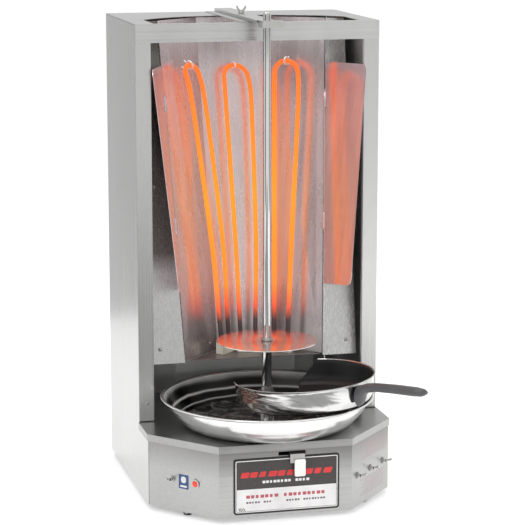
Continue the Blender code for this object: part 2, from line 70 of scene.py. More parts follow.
# ---------------------------------------------------------------- materials
class Tree:
    """A short way to write a node tree round one Principled shader."""

    def __init__(self, name):
        self.mat = bpy.data.materials.new(name)
        self.mat.use_nodes = True
        self.nodes = self.mat.node_tree.nodes
        self.links = self.mat.node_tree.links
        self.shader = self.nodes["Principled BSDF"]
        self.coords = self.nodes.new("ShaderNodeTexCoord").outputs["Object"]

    def set(self, **values):
        for key, value in values.items():
            self.shader.inputs[key.replace("_", " ")].default_value = value
        return self

    def link(self, a, b):
        self.links.new(a, b)

    def stretched(self, scale, turn=(0, 0, 0)):
        node = self.nodes.new("ShaderNodeMapping")
        node.inputs["Scale"].default_value = scale
        node.inputs["Rotation"].default_value = turn
        self.link(self.coords, node.inputs["Vector"])
        return node.outputs["Vector"]

    def noise(self, vector, scale=1.0, detail=3.0, rough=0.5, distortion=0.0):
        node = self.nodes.new("ShaderNodeTexNoise")
        node.inputs["Scale"].default_value = scale
        node.inputs["Detail"].default_value = detail
        node.inputs["Roughness"].default_value = rough
        node.inputs["Distortion"].default_value = distortion
        self.link(vector, node.inputs["Vector"])
        return node.outputs["Fac"]

    def ranged(self, value, low, high, out_low, out_high):
        node = self.nodes.new("ShaderNodeMapRange")
        keys = ("From Min", "From Max", "To Min", "To Max")
        for key, number in zip(keys, (low, high, out_low, out_high)):
            node.inputs[key].default_value = number
        self.link(value, node.inputs["Value"])
        return node.outputs["Result"]

    def maths(self, operation, a, b=None):
        node = self.nodes.new("ShaderNodeMath")
        node.operation = operation
        for socket, value in zip(node.inputs, (a, b)):
            if isinstance(value, (int, float)):
                socket.default_value = value
            elif value is not None:
                self.link(value, socket)
        return node.outputs[0]

    def ramp(self, value, stops):
        node = self.nodes.new("ShaderNodeValToRGB")
        band = node.color_ramp
        while len(band.elements) < len(stops):
            band.elements.new(0.5)
        for element, (place, colour) in zip(band.elements, stops):
            element.position = place
            element.color = (*colour, 1.0)
        self.link(value, node.inputs["Fac"])
        return node.outputs["Color"]

    def axis(self, which):
        node = self.nodes.new("ShaderNodeSeparateXYZ")
        self.link(self.coords, node.inputs[0])
        return node.outputs[which]

    def from_spit(self):
        """Distance from the spit's axis."""
        x, y = self.axis("X"), self.maths("SUBTRACT", self.axis("Y"), SPIT_Y)
        squares = self.maths("ADD", self.maths("MULTIPLY", x, x), self.maths("MULTIPLY", y, y))
        return self.maths("SQRT", squares)

    def bump(self, height, strength, distance):
        node = self.nodes.new("ShaderNodeBump")
        node.inputs["Strength"].default_value = strength
        node.inputs["Distance"].default_value = distance
        self.link(height, node.inputs["Height"])
        self.link(node.outputs["Normal"], self.shader.inputs["Normal"])

    def to(self, key, output):
        self.link(output, self.shader.inputs[key])
        return self


def steel(
    name, colour=(0.58, 0.58, 0.57), rough=(0.24, 0.40), along="Z", stroke=520.0, bump=0.10, tint=None,
    metal=1.0, inner=None,
):
    """Stainless sheet: fine strokes along one axis and faint smears.

    tint, as (axis, from, to, colour), blends it towards that colour at one end; on the front, the reflector
    and the face plates this is painted shade. inner is the Metallic value of the cabinet's inside faces,
    which are dull where the outside is polished.
    """
    t = Tree(name).set(Metallic=metal)
    if inner is not None:
        half = DEPTH / 2
        x, y = t.axis("X"), t.maths("SUBTRACT", t.axis("Y"), half)
        inside, outside = (HALF_W - 0.0010) ** 2, (HALF_W - 0.0002) ** 2
        wide = t.ranged(t.maths("MULTIPLY", x, x), inside, outside, inner, metal)
        deep = t.ranged(t.maths("MULTIPLY", y, y), (half - 0.0040) ** 2, (half - 0.0020) ** 2, inner, metal)
        t.to("Metallic", t.maths("MAXIMUM", wide, deep))
    scale = {"X": (2.0, stroke, stroke), "Y": (stroke, 2.0, stroke), "Z": (stroke, stroke, 2.0)}[along]
    strokes = t.noise(t.stretched(scale), 1.0, 4.0, 0.65)
    smear = t.noise(t.stretched((7.0, 7.0, 3.0)), 1.0, 3.0, 0.55, 0.6)
    mixed = t.maths("ADD", t.maths("MULTIPLY", strokes, 0.6), t.maths("MULTIPLY", smear, 0.4))
    t.to("Roughness", t.ranged(mixed, 0.30, 0.70, rough[0], rough[1]))
    dark = tuple(c * 0.80 for c in colour)
    light = tuple(min(1.0, c * 1.12) for c in colour)
    brushed = t.ramp(mixed, ((0.30, dark), (0.55, colour), (0.72, light)))
    if tint is None:
        t.to("Base Color", brushed)
    else:
        which, low, high, shade = tint
        place = t.ranged(t.axis(which), low, high, 0.0, 1.0)
        place = t.maths("ADD", place, t.maths("MULTIPLY", t.maths("SUBTRACT", smear, 0.5), 0.5))
        mix = t.nodes.new("ShaderNodeMix")
        mix.data_type = "RGBA"
        t.link(place, mix.inputs["Factor"])
        t.link(brushed, mix.inputs[6])
        mix.inputs[7].default_value = (*shade, 1.0)
        t.to("Base Color", mix.outputs[2])
    t.bump(strokes, bump, 0.0002)
    return t.mat


def plain(name, colour, rough, grain=900.0, metallic=0.0, spread=0.12, bump=0.15, coat=0.0):
    """Plastic, rubber or paint with a fine grain and uneven sheen."""
    t = Tree(name).set(Metallic=metallic, Coat_Weight=coat)
    grain_value = t.noise(t.stretched((grain,) * 3), 1.0, 2.0, 0.6)
    cloud = t.noise(t.stretched((28.0,) * 3), 1.0, 3.0, 0.6)
    t.to("Roughness", t.ranged(cloud, 0.3, 0.7, max(0.02, rough - spread / 2), rough + spread / 2))
    t.to("Base Color", t.ramp(cloud, ((0.25, tuple(c * 0.82 for c in colour)), (0.7, colour))))
    t.bump(grain_value, bump, 0.0002)
    return t.mat


M = {}
M["side"] = steel(
    "steel_side", colour=(0.60, 0.60, 0.595), rough=(0.20, 0.30), bump=0.05, inner=0.30,
    tint=("Z", 0.10, 0.95, (0.52, 0.52, 0.515)),
)
M["header"] = steel("steel_header", along="X", colour=(0.56, 0.56, 0.555), rough=(0.24, 0.36), bump=0.06)
M["deck"] = steel("steel_deck", along="X", colour=(0.42, 0.42, 0.415), rough=(0.26, 0.38), bump=0.06)
# The front darkens towards its top edge, under the deck lip: painted shade.
M["front"] = steel(
    "steel_front", along="X", colour=(0.49, 0.49, 0.485), rough=(0.26, 0.38), bump=0.06,
    tint=("Z", 0.070, 0.135, (0.24, 0.235, 0.23)),
)
M["back"] = steel("steel_back", colour=(0.46, 0.46, 0.46), rough=(0.30, 0.46))
# The pinkish base colour is a painted reflection of the glowing heaters, and the tint darkens the lower
# end: painted shade.
M["reflector"] = steel(
    "steel_reflector", colour=(0.71, 0.645, 0.65), rough=(0.25, 0.30), stroke=60.0, bump=0.003, metal=0.80,
    tint=("Z", 0.36, 0.22, (0.36, 0.34, 0.33)),
)
# The tint darkens the plate above about z 0.42: painted shade and a painted reflection of the dark cabinet
# inside.
M["face"] = steel(
    "steel_face", colour=(0.62, 0.62, 0.61), rough=(0.25, 0.30), bump=0.006,
    tint=("Z", 0.400, 0.440, (0.17, 0.16, 0.145)),
)
# A copy of the face steel for the right plate, whose top gets a lighter painted shade than the left
# plate's.
M["face_right"] = steel(
    "steel_face_right", colour=(0.62, 0.62, 0.61), rough=(0.25, 0.30), bump=0.006, metal=0.7,
    tint=("Z", 0.400, 0.440, (0.58, 0.57, 0.55)),
)
# Paler than the other steel to stand in for light the shield lacks in the shade: painted light.
M["shield"] = steel(
    "steel_shield", colour=(0.80, 0.80, 0.79), rough=(0.42, 0.55), along="X", bump=0.02, metal=0.5
)
# The pinkish base colour is a painted reflection of the glowing heaters.
M["wing"] = steel(
    "steel_wing", colour=(0.73, 0.61, 0.63), rough=(0.14, 0.19), stroke=60.0, bump=0.003, metal=0.82
)
M["bright"] = steel("steel_bright", colour=(0.70, 0.70, 0.69), rough=(0.10, 0.20), stroke=340.0, bump=0.03)
M["zinc"] = steel("zinc_plate", colour=(0.55, 0.55, 0.53), rough=(0.28, 0.45), along="Y", stroke=300.0)
M["rod"] = steel("steel_rod", colour=(0.66, 0.66, 0.65), rough=(0.06, 0.12), stroke=800.0, bump=0.01)
M["hook"] = steel("steel_hook", colour=(0.95, 0.94, 0.93), rough=(0.34, 0.46), stroke=500.0, bump=0.02)
M["rim"] = steel("steel_rim", colour=(0.92, 0.91, 0.90), rough=(0.22, 0.30), stroke=500.0, bump=0.01)
M["shadow_steel"] = steel("steel_inside", colour=(0.40, 0.40, 0.40), rough=(0.30, 0.45))
M["rubber"] = plain("rubber_black", (0.03, 0.03, 0.03), 0.75)
M["paint"] = plain("motor_paint", (0.10, 0.11, 0.12), 0.5)
M["ceramic"] = plain("terminal_ceramic", (0.70, 0.66, 0.56), 0.6, grain=500.0)
M["plastic"] = plain("handle_plastic", (0.075, 0.075, 0.08), 0.38, grain=1400.0, bump=0.10)
M["white"] = plain("tab_vinyl", (0.80, 0.80, 0.77), 0.40, spread=0.08, bump=0.05)
M["nonstick"] = plain("nonstick_coating", (0.022, 0.022, 0.024), 0.40, grain=1800.0, bump=0.25, spread=0.16)
M["print_black"] = plain("print_black", (0.012, 0.012, 0.013), 0.30, bump=0.03)
M["print_grey"] = plain("print_charcoal", (0.045, 0.040, 0.038), 0.32, bump=0.03)
M["print_white"] = plain("print_white", (0.70, 0.69, 0.69), 0.34, spread=0.06, bump=0.02)
M["print_red"] = plain("print_red", (0.62, 0.03, 0.03), 0.32, spread=0.06, bump=0.02)
M["print_line"] = plain("print_line", (0.42, 0.28, 0.27), 0.40, spread=0.06, bump=0.02)
M["print_maroon"] = plain("print_maroon", (0.42, 0.08, 0.10), 0.36, spread=0.06, bump=0.02)
M["print_ink"] = plain("print_ink", (0.12, 0.09, 0.10), 0.36, spread=0.06, bump=0.02)
M["print_blue"] = plain("print_blue", (0.03, 0.07, 0.20), 0.34, spread=0.06, bump=0.02)


def glowing():
    """Heater sheath: dark cold ends low down, glowing orange above, a little redder near the top."""
    t = Tree("heater_glow").set(Roughness=0.6, Emission_Strength=1.25)
    flicker = t.noise(t.stretched((60.0, 60.0, 16.0)), 1.0, 3.0, 0.6)
    height = t.maths("ADD", t.axis("Z"), t.maths("MULTIPLY", t.maths("SUBTRACT", flicker, 0.5), 0.03))
    place = t.ranged(height, 0.26, 0.80, 0.0, 1.0)
    hot = (
        (0.0, (0.0, 0.0, 0.0)), (0.075, (0.02, 0.001, 0.0)), (0.12, (0.75, 0.07, 0.01)),
        (0.20, (1.0, 0.22, 0.008)), (0.50, (1.0, 0.28, 0.008)), (0.80, (1.0, 0.20, 0.010)),
        (1.0, (1.0, 0.13, 0.014)),
    )
    cold = ((0.0, (0.04, 0.04, 0.045)), (0.12, (0.06, 0.05, 0.05)), (0.3, (0.10, 0.02, 0.01)))
    t.to("Emission Color", t.ramp(place, hot))
    t.to("Base Color", t.ramp(place, cold))
    t.bump(t.noise(t.stretched((900.0,) * 3), 1.0, 2.0), 0.2, 0.0003)
    return t.mat


M["glow"] = glowing()


def red_lens():
    """Pilot lamp lens: red, faceted inside and softly lit."""
    t = Tree("lens_red").set(Roughness=0.08, Coat_Weight=0.6, Emission_Strength=0.55)
    facets = t.noise(t.stretched((420.0,) * 3), 1.0, 1.0)
    t.to("Base Color", t.ramp(facets, ((0.3, (0.45, 0.005, 0.004)), (0.7, (0.85, 0.03, 0.02)))))
    t.to("Emission Color", t.ramp(facets, ((0.3, (0.6, 0.01, 0.005)), (0.75, (1.0, 0.10, 0.05)))))
    t.bump(facets, 0.3, 0.0004)
    return t.mat


M["lens"] = red_lens()


def disc_steel():
    """Meat disc: turned steel with fine rings and a warm salmon-pink tone."""
    t = Tree("disc_turned").set(Metallic=1.0)
    rings = t.maths("SINE", t.maths("MULTIPLY", t.from_spit(), 5200.0))
    cloud = t.noise(t.stretched((22.0,) * 3), 1.0, 4.0, 0.6)
    t.to("Base Color", t.ramp(cloud, ((0.3, (0.74, 0.50, 0.46)), (0.7, (0.86, 0.64, 0.60)))))
    t.to("Roughness", t.ranged(cloud, 0.3, 0.7, 0.15, 0.24))
    t.bump(rings, 0.03, 0.0002)
    return t.mat


M["disc"] = disc_steel()


def pan_steel():
    """Outside of the drip pan: polished, with faint turning rings."""
    t = Tree("pan_bright").set(Metallic=0.90)
    cloud = t.noise(t.stretched((16.0, 16.0, 16.0)), 1.0, 4.0, 0.6, 0.8)
    fine = t.noise(t.stretched((260.0, 40.0, 260.0)), 1.0, 3.0, 0.6)
    t.to("Base Color", t.ramp(cloud, ((0.3, (0.82, 0.82, 0.81)), (0.7, (0.92, 0.92, 0.91)))))
    t.to("Roughness", t.ranged(cloud, 0.3, 0.7, 0.14, 0.22))
    rings = t.maths("SINE", t.maths("MULTIPLY", t.from_spit(), 620.0))
    t.bump(t.maths("ADD", rings, t.maths("MULTIPLY", fine, 0.2)), 0.16, 0.0006)
    return t.mat


def pan_wall():
    """Inside of the pan's wall: polished, with painted dark and bright rings that stand for reflections."""
    t = Tree("pan_wall_painted_reflection")
    wobble = t.noise(t.stretched((11.0,) * 3), 1.0, 2.0, 0.5)
    place = t.maths("ADD", t.from_spit(), t.maths("MULTIPLY", t.maths("SUBTRACT", wobble, 0.5), 0.006))
    band = t.ranged(place, 0.150, 0.190, 0.0, 1.0)
    bands = (
        (0.00, 0.05), (0.22, 0.12), (0.30, 0.75), (0.36, 0.10), (0.52, 0.05),
        (0.60, 0.90), (0.68, 0.15), (0.80, 0.10), (0.90, 0.60), (1.00, 0.90),
    )
    shine = t.ramp(band, [(stop, (grey,) * 3) for stop, grey in bands])
    greys = ((0.0, (0.16, 0.16, 0.158)), (0.5, (0.62, 0.62, 0.61)), (0.9, (0.95, 0.95, 0.94)))
    t.to("Base Color", t.ramp(shine, greys))
    t.to("Metallic", t.ranged(shine, 0.3, 0.9, 1.0, 0.25))
    t.to("Roughness", t.ranged(wobble, 0.3, 0.7, 0.12, 0.22))
    return t.mat


def pan_floor():
    """Inside floor of the drip pan: browned and streaky."""
    t = Tree("pan_floor_browned").set(Metallic=0.85)
    cloud = t.noise(t.stretched((30.0,) * 3), 1.0, 5.0, 0.65, 1.2)
    streak = t.noise(t.stretched((60.0, 420.0, 60.0), (0, 0, 0.35)), 1.0, 3.0, 0.7, 0.4)
    both = t.maths("ADD", t.maths("MULTIPLY", cloud, 0.5), t.maths("MULTIPLY", streak, 0.5))
    browned = ((0.42, (0.07, 0.067, 0.064)), (0.50, (0.24, 0.23, 0.22)), (0.57, (0.80, 0.78, 0.75)))
    t.to("Base Color", t.ramp(both, browned))
    t.to("Roughness", t.ranged(cloud, 0.3, 0.7, 0.14, 0.34))
    rings = t.maths("SINE", t.maths("MULTIPLY", t.from_spit(), 900.0))
    t.bump(t.maths("ADD", rings, streak), 0.35, 0.0004)
    return t.mat


def skillet_steel():
    """Skillet wall: polished, with slow swirls left by the buffing wheel."""
    t = Tree("skillet_polished").set(Metallic=1.0)
    swirl = t.noise(t.stretched((9.0, 9.0, 26.0), (0.5, 0.3, 0.0)), 1.0, 2.0, 0.5, 1.6)
    cloud = t.noise(t.stretched((14.0,) * 3), 1.0, 3.0, 0.6)
    t.to("Base Color", t.ramp(swirl, ((0.36, (0.50, 0.50, 0.49)), (0.60, (0.70, 0.70, 0.69)))))
    t.to("Roughness", t.ranged(cloud, 0.3, 0.7, 0.10, 0.20))
    t.bump(swirl, 0.55, 0.0040)
    return t.mat


M["skillet"] = skillet_steel()
M["pan"] = pan_steel()
M["pan_floor"] = pan_floor()
M["pan_wall"] = pan_wall()


# ---------------------------------------------------------------- shapes
def finished(obj, mats, body, stands_for, sharp=32.0):
    """Puts a mesh in the scene: its materials, shading, the body it rides and the CAD node it replaces."""
    for m in mats if isinstance(mats, list) else [mats]:
        obj.data.materials.append(m)
    for face in obj.data.polygons:
        face.use_smooth = True
    obj.data.set_sharp_from_angle(angle=radians(sharp))
    MADE.objects.link(obj)
    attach(obj, body)
    if stands_for:
        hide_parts(stands_for)


def from_bmesh(name, bm):
    """A new unlinked object, its double vertices merged and its faces turned outwards."""
    bmesh.ops.remove_doubles(bm, verts=bm.verts, dist=1e-7)
    bmesh.ops.recalc_face_normals(bm, faces=bm.faces)
    mesh = bpy.data.meshes.new(name)
    bm.to_mesh(mesh)
    bm.free()
    return bpy.data.objects.new(name, mesh)


def bridge(bm, rows):
    """Faces between each closed row of vertices and the next."""
    for a, b in zip(rows, rows[1:]):
        for i in range(len(a)):
            j = (i + 1) % len(a)
            bm.faces.new((a[i], a[j], b[j], b[i]))


def rings_mesh(name, rings):
    """A closed form through a stack of rings, capped at both ends."""
    bm = bmesh.new()
    rows = [[bm.verts.new(Vector(p)) for p in ring] for ring in rings]
    bridge(bm, rows)
    bm.faces.new(rows[0][::-1])
    bm.faces.new(rows[-1])
    return from_bmesh(name, bm)


def round_corner(loop, radius, segments=4):
    """Replaces each corner of a closed 2D loop by an arc of about the given radius."""
    out = []
    for i, p in enumerate(loop):
        p, a, b = Vector(p), Vector(loop[i - 1]), Vector(loop[(i + 1) % len(loop)])
        r = min(radius, (a - p).length * 0.45, (b - p).length * 0.45)
        start, end = p + (a - p).normalized() * r, p + (b - p).normalized() * r
        for k in range(segments + 1):
            u = k / segments
            out.append(tuple(start.lerp(p, u).lerp(p.lerp(end, u), u)))
    return out


ON_AXIS = 1e-6


def lathe(name, profile, place, steps=96):
    """A closed loop of (radius, height) turned about the Z axis of place."""
    bm = bmesh.new()
    rows = []
    for k in range(steps):
        a = 2 * pi * k / steps
        rows.append([bm.verts.new((r * cos(a), r * sin(a), h)) for r, h in profile])
    n = len(profile)
    for k in range(steps):
        a, b = rows[k], rows[(k + 1) % steps]
        for i in range(n):
            j = (i + 1) % n
            on_axis = profile[i][0] < ON_AXIS, profile[j][0] < ON_AXIS
            if all(on_axis):
                continue
            face = [a[i], a[j], b[j], b[i]]
            if on_axis[0]:
                face = [a[i], a[j], b[j]]
            elif on_axis[1]:
                face = [a[i], a[j], b[i]]
            bm.faces.new(face)
    bmesh.ops.remove_doubles(bm, verts=bm.verts, dist=1e-7)
    bm.transform(place)
    return from_bmesh(name, bm)


def soften(profile, radius=0.0006, segments=3):
    """Rounds the off-axis corners of a lathe profile."""
    out = []
    count = len(profile)
    for i, p in enumerate(profile):
        if p[0] < ON_AXIS:
            out.append(p)
            continue
        v, a, b = Vector(p), Vector(profile[i - 1]), Vector(profile[(i + 1) % count])
        r = min(radius, (a - v).length * 0.4, (b - v).length * 0.4)
        start, end = v + (a - v).normalized() * r, v + (b - v).normalized() * r
        for k in range(segments + 1):
            u = k / segments
            out.append(tuple(start.lerp(v, u).lerp(v.lerp(end, u), u)))
    return out


def catmull(points, per):
    """A Catmull-Rom curve through the given Vectors, with per steps between two of them."""
    out = []
    for i in range(len(points) - 1):
        a, b = points[max(i - 1, 0)], points[i]
        c, d = points[i + 1], points[min(i + 2, len(points) - 1)]
        bend, twist = 2 * a - 5 * b + 4 * c - d, 3 * b - a - 3 * c + d
        for k in range(per):
            u = k / per
            out.append(0.5 * (2 * b + (c - a) * u + bend * u**2 + twist * u**3))
    return out + [points[-1]]


def spline(points, per=6):
    """A smooth lathe profile through a few points."""
    return [tuple(p) for p in catmull([Vector(p) for p in points], per)]


def circle(radius, count):
    """Points evenly round a circle about the origin."""
    return [(radius * cos(2 * pi * i / count), radius * sin(2 * pi * i / count)) for i in range(count)]


def frame_at(origin, direction):
    """A frame at origin whose Z axis points along direction."""
    turn = Vector(direction).normalized().to_track_quat("Z", "Y").to_matrix().to_4x4()
    return Matrix.Translation(Vector(origin)) @ turn


def tube(name, points, radius, sides=16, smooth_steps=0):
    """Round bar along a path, with domed ends; the path may be rounded first by corner cutting."""
    pts = [Vector(p) for p in points]
    for _ in range(smooth_steps):
        new = [pts[0]]
        for a, b in zip(pts, pts[1:]):
            new += [a.lerp(b, 0.25), a.lerp(b, 0.75)]
        new.append(pts[-1])
        pts = new
    rings, normal = [], None
    for i, p in enumerate(pts):
        d = (pts[min(i + 1, len(pts) - 1)] - pts[max(i - 1, 0)]).normalized()
        if normal is None:
            normal = d.orthogonal().normalized()
        normal = (normal - d * normal.dot(d)).normalized()
        side = d.cross(normal)
        rings.append([p + (normal * c + side * e) * radius for c, e in circle(1.0, sides)])
    for end, other in ((0, 1), (-1, -2)):
        d = (pts[end] - pts[other]).normalized()
        cap = [pts[end] + (q - pts[end]) * 0.7 + d * radius * 0.3 for q in rings[end]]
        rings = [cap] + rings if end == 0 else rings + [cap]
    return rings_mesh(name, rings)


def soft_edges(obj, width, segments=3, angle=30.0):
    """Rounds the sharp edges with a bevel."""
    mod = obj.modifiers.new("edges", "BEVEL")
    mod.width = width
    mod.segments = segments
    mod.limit_method = "ANGLE"
    mod.angle_limit = radians(angle)
    mod.harden_normals = False
    return obj


def join(name, objs):
    """Merges unlinked mesh objects into one."""
    bm = bmesh.new()
    for o in objs:
        bm.from_mesh(o.data)
    mesh = bpy.data.meshes.new(name)
    bm.to_mesh(mesh)
    bm.free()
    return bpy.data.objects.new(name, mesh)


# ---------------------------------------------------------------- carried-over sheet metal
CARRIED = {
    "side": ("side_panel_left", "side_panel_right"),
    "back": ("back_panel", "bottom_pan", "access_cover"),
    "header": ("top_cap", "arm_guide", "top_arm"),
    "deck": ("deck_plate",),
    "front": ("base_front",),
    "reflector": ("reflector",),
    "face": ("face_plate_left",),
    "face_right": ("face_plate_right",),
    "shield": ("lower_shield",),
    "shadow_steel": ("reflector_floor",),
    "zinc": (
        "carriage_plate", "rail_left", "rail_right", "handle_strap", "wing_pin_left", "wing_pin_right",
        "spit_bush",
    ),
    "paint": ("gearbox", "gear_motor"),
    "ceramic": ("terminal_left", "terminal_centre", "terminal_right"),
}
for key, names in CARRIED.items():
    for name in names:
        node = NODES[name]
        node.data.materials.clear()
        node.data.materials.append(M[key])
        weld = node.modifiers.new("weld", "WELD")
        weld.merge_threshold = 2e-5
        soft_edges(node, 0.00035, 2, 35.0)


# ---------------------------------------------------------------- heaters
# Each hairpin's two legs, as points from the crown down to the cold end
HEATERS = {
    "left": (
        ((-0.1100, 0.1209, 0.7666), (-0.0986, 0.1156, 0.7067),
         (-0.0690, 0.0933, 0.4558), (-0.0591, 0.0817, 0.3258)),
        ((-0.0804, 0.1428, 0.7638), (-0.0689, 0.1369, 0.7035),
         (-0.0431, 0.1123, 0.4514), (-0.0382, 0.0996, 0.3210)),
    ),
    "centre": (
        ((-0.0273, 0.1628, 0.7549), (-0.0254, 0.1545, 0.7004),
         (-0.0171, 0.1160, 0.4496), (-0.0150, 0.0961, 0.3205)),
        ((0.0194, 0.1629, 0.7538), (0.0241, 0.1544, 0.6990),
         (0.0230, 0.1158, 0.4479), (0.0170, 0.0959, 0.3189)),
    ),
    "right": (
        ((0.0693, 0.1548, 0.7598), (0.0666, 0.1456, 0.6988),
         (0.0573, 0.1074, 0.4478), (0.0520, 0.0878, 0.3187)),
        ((0.1068, 0.1220, 0.7620), (0.1050, 0.1145, 0.7011),
         (0.0848, 0.0836, 0.4507), (0.0753, 0.0677, 0.3217)),
    ),
}
HEATER_R, HEATER_LOW = 0.0043, 0.2620
# How far behind its crown each hook is fixed to the reflector
REACH = {"left": 0.0225, "centre": 0.0270, "right": 0.0245}
HOOK_R = 0.0019


def leg_line(leg):
    """A smooth line down one leg, from the crown to the foot in its terminal."""
    pts = [Vector(p) for p in leg]
    last = pts[-1] - pts[-2]
    pts.append(pts[-1] - last * ((pts[-1].z - HEATER_LOW) / last.z))
    return catmull(pts, 8)


for label, legs in HEATERS.items():
    first, second = (leg_line(leg) for leg in legs)
    t0, t1 = first[0], second[0]
    mid, half = (t0 + t1) / 2, (t1 - t0) / 2
    up = ((t0 - first[3]).normalized() + (t1 - second[3]).normalized()).normalized()
    arc = [mid + half * cos(pi - pi * i / 28) + up * half.length * sin(pi * i / 28) for i in range(29)]
    rod = tube("heater_" + label + "_sheath", first[:0:-1] + arc + second[1:], HEATER_R, 20)
    finished(rod, M["glow"], "cabinet", "heater_" + label, 60)
    crown = mid + up * half.length
    back = Vector((-half.y, half.x, 0)).normalized()
    back = back if back.y > 0 else -back
    eye = HEATER_R + 0.0030
    hook = [crown + back * REACH[label] - up * 0.006, crown + back * 0.012 - up * eye]
    for k in range(9):
        turn = radians(-60 - 34 * k)
        hook.append(crown + back * cos(turn) * eye + up * sin(turn) * eye)
    hook.append(crown + back * eye * 1.6 + up * eye * 0.9)
    wire = tube("hook_" + label + "_wire", hook, HOOK_R, 12, 2)
    finished(wire, M["hook"], "cabinet", "hook_" + label, 60)


# ---------------------------------------------------------------- folding shields
def edge_point(s, z, forward=0.0):
    """The reflector's outer front edge at height z, moved forward by a distance."""
    drop = LEAN_Z - z
    return Vector((s * (0.1582 - drop * 0.0469), 0.1220 - drop * LEAN - forward, z))


def hinge_point(s, z):
    return edge_point(s, z, 0.0070)


# Top and bottom edge of a shield: height at the hinge, then x, y and z of the free corner
CORNERS = ((0.7855, 0.2005, -0.0125, 0.7900), (0.3705, 0.1620, -0.0530, 0.3850))
# Share of the way down, and how far out the sheet reaches there, which rounds the free corners
TRIMS = ((0.0, 0.955), (0.004, 0.972), (0.010, 0.988), (0.022, 1.0))
TRIMS += tuple((0.06 + 0.9 * k / 30, 1.0) for k in range(31))
TRIMS += ((0.975, 0.993), (0.986, 0.978), (0.994, 0.955), (1.0, 0.915))


def evaluated(obj):
    """A copy of the mesh with its modifiers applied; the object itself is removed."""
    bpy.context.view_layer.update()
    graph = bpy.context.evaluated_depsgraph_get()
    mesh = bpy.data.meshes.new_from_object(obj.evaluated_get(graph))
    bpy.data.objects.remove(obj, do_unlink=True)
    return mesh


for s, label in ((-1, "left"), (1, "right")):
    edges = []
    for z_rear, x, y, z in CORNERS:
        rear, front = hinge_point(s, z_rear), Vector((s * x, y, z))
        edges.append((rear + (front - rear).normalized() * 0.0030, front))
    (rt, ft), (rb, fb) = edges
    bm = bmesh.new()
    rows = []
    for t, reach in TRIMS:
        rear = rt.lerp(rb, t)
        front = rear.lerp(ft.lerp(fb, t), reach)
        rows.append([bm.verts.new(rear.lerp(front, k / 8)) for k in range(9)])
    for a, b in zip(rows, rows[1:]):
        for i in range(8):
            bm.faces.new((a[i], a[i + 1], b[i + 1], b[i]))
    sheet = from_bmesh("sheet", bm)
    solid = sheet.modifiers.new("sheet", "SOLIDIFY")
    solid.thickness = 0.0010
    solid.offset = 0.0
    MADE.objects.link(sheet)
    pieces = [bpy.data.objects.new("sheet", evaluated(sheet))]
    for z in (0.700, 0.475):
        low, high = hinge_point(s, z), hinge_point(s, z + 0.028)
        length = (high - low).length
        ring = [(0.0040, 0.0), (0.0040, length), (0.0022, length), (0.0022, 0.0)]
        pieces.append(lathe("knuckle", soften(ring, 0.0004), frame_at(low, high - low), 32))
    finished(join("shield_" + label, pieces), M["wing"], "wing_" + label, "wing_" + label, 50)


# ---------------------------------------------------------------- spit, disc and drive
rod = [(0.0, SPIT_TOP), (0.0050, SPIT_TOP), (SPIT_R, SPIT_TOP - 0.0028), (SPIT_R, 0.1580), (0.0, 0.1580)]
finished(lathe("spit_bar", soften(rod, 0.0008), SPIT_AT, 48), M["rod"], "spit", "spit_rod")
disc = [(DISC_R, DISC_Z + 0.0016), (DISC_R, DISC_Z), (0.0110, DISC_Z), (0.0088, DISC_Z - 0.0030)]
disc += [(0.0088, 0.2060), (0.0075, 0.2060), (0.0075, DISC_Z + 0.0016)]
plate = lathe("meat_plate", soften(disc, 0.0005), SPIT_AT, 128)
finished(plate, [M["disc"], M["rod"], M["rim"]], "spit", "meat_disc")
for face in plate.data.polygons:
    far = Vector((face.center.x, face.center.y - SPIT_Y)).length
    face.material_index = 1 if far < 0.0125 else 2 if far > DISC_R - 0.0009 else 0
collar = [(0.0100, DISC_Z + 0.0065), (0.0105, DISC_Z + 0.0019)]
collar += [(0.0075, DISC_Z + 0.0019), (0.0075, DISC_Z + 0.0065)]
finished(lathe("plate_collar", soften(collar), SPIT_AT, 48), M["zinc"], "spit", "disc_collar")
hub = [(0.0076, 0.2050), (0.0104, 0.2050), (0.0104, 0.1146), (0.0058, 0.1146)]
hub += [(0.0058, 0.1112), (0.0, 0.1112), (0.0, 0.1575), (0.0076, 0.1575)]
finished(lathe("drive_hub", soften(hub), SPIT_AT, 48), M["zinc"], "drive", "drive_socket")


# ---------------------------------------------------------------- drip pan
outer = spline(
    [(0.1960, 0.1906), (0.1970, 0.1893), (0.1962, 0.1878), (0.1915, 0.1862), (0.1862, 0.1780)], 4
)
outer += spline(
    [(0.1862, 0.1780), (0.1770, 0.1635), (0.1650, 0.1500)]
    + [(0.1540, 0.1405), (0.1455, 0.1360), (0.1420, 0.1353)]
)[1:]
stem = [(0.0120, 0.1353), (0.0120, 0.1975), (0.0152, 0.1975), (0.0148, 0.1935), (0.0134, 0.1915)]
floor = [(0.0134, 0.1400), (0.0160, 0.1370), (0.0600, 0.1370), (0.0620, 0.1378), (0.1000, 0.1378)]
wall = spline(
    [(0.1020, 0.1370), (0.1420, 0.1371), (0.1535, 0.1421)]
    + [(0.1640, 0.1514), (0.1757, 0.1647), (0.1848, 0.1790)]
)
lip = spline([(0.1848, 0.1790), (0.1900, 0.1872), (0.1932, 0.1902), (0.1960, 0.1906)], 4)[1:-1]
pan = lathe("drip_pan_shell", outer + stem + floor + wall + lip, SPIT_AT, 160)
finished(pan, [M["pan"], M["pan_floor"], M["pan_wall"]], "drip_pan", "drip_pan", 45)
STEM_R, FLOOR_R, WALL_R = 0.0125, 0.1560, 0.1900
for face in pan.data.polygons:
    far = Vector((face.center.x, face.center.y - SPIT_Y)).length
    on_floor = face.normal.z > 0.25 and far < FLOOR_R and face.center.z < 0.150
    on_stem = STEM_R < far < 0.0160 and face.center.z > 0.14
    face.material_index = 1 if on_floor or on_stem else 0
    if FLOOR_R <= far < WALL_R and face.normal.z > 0.1:
        face.material_index = 2


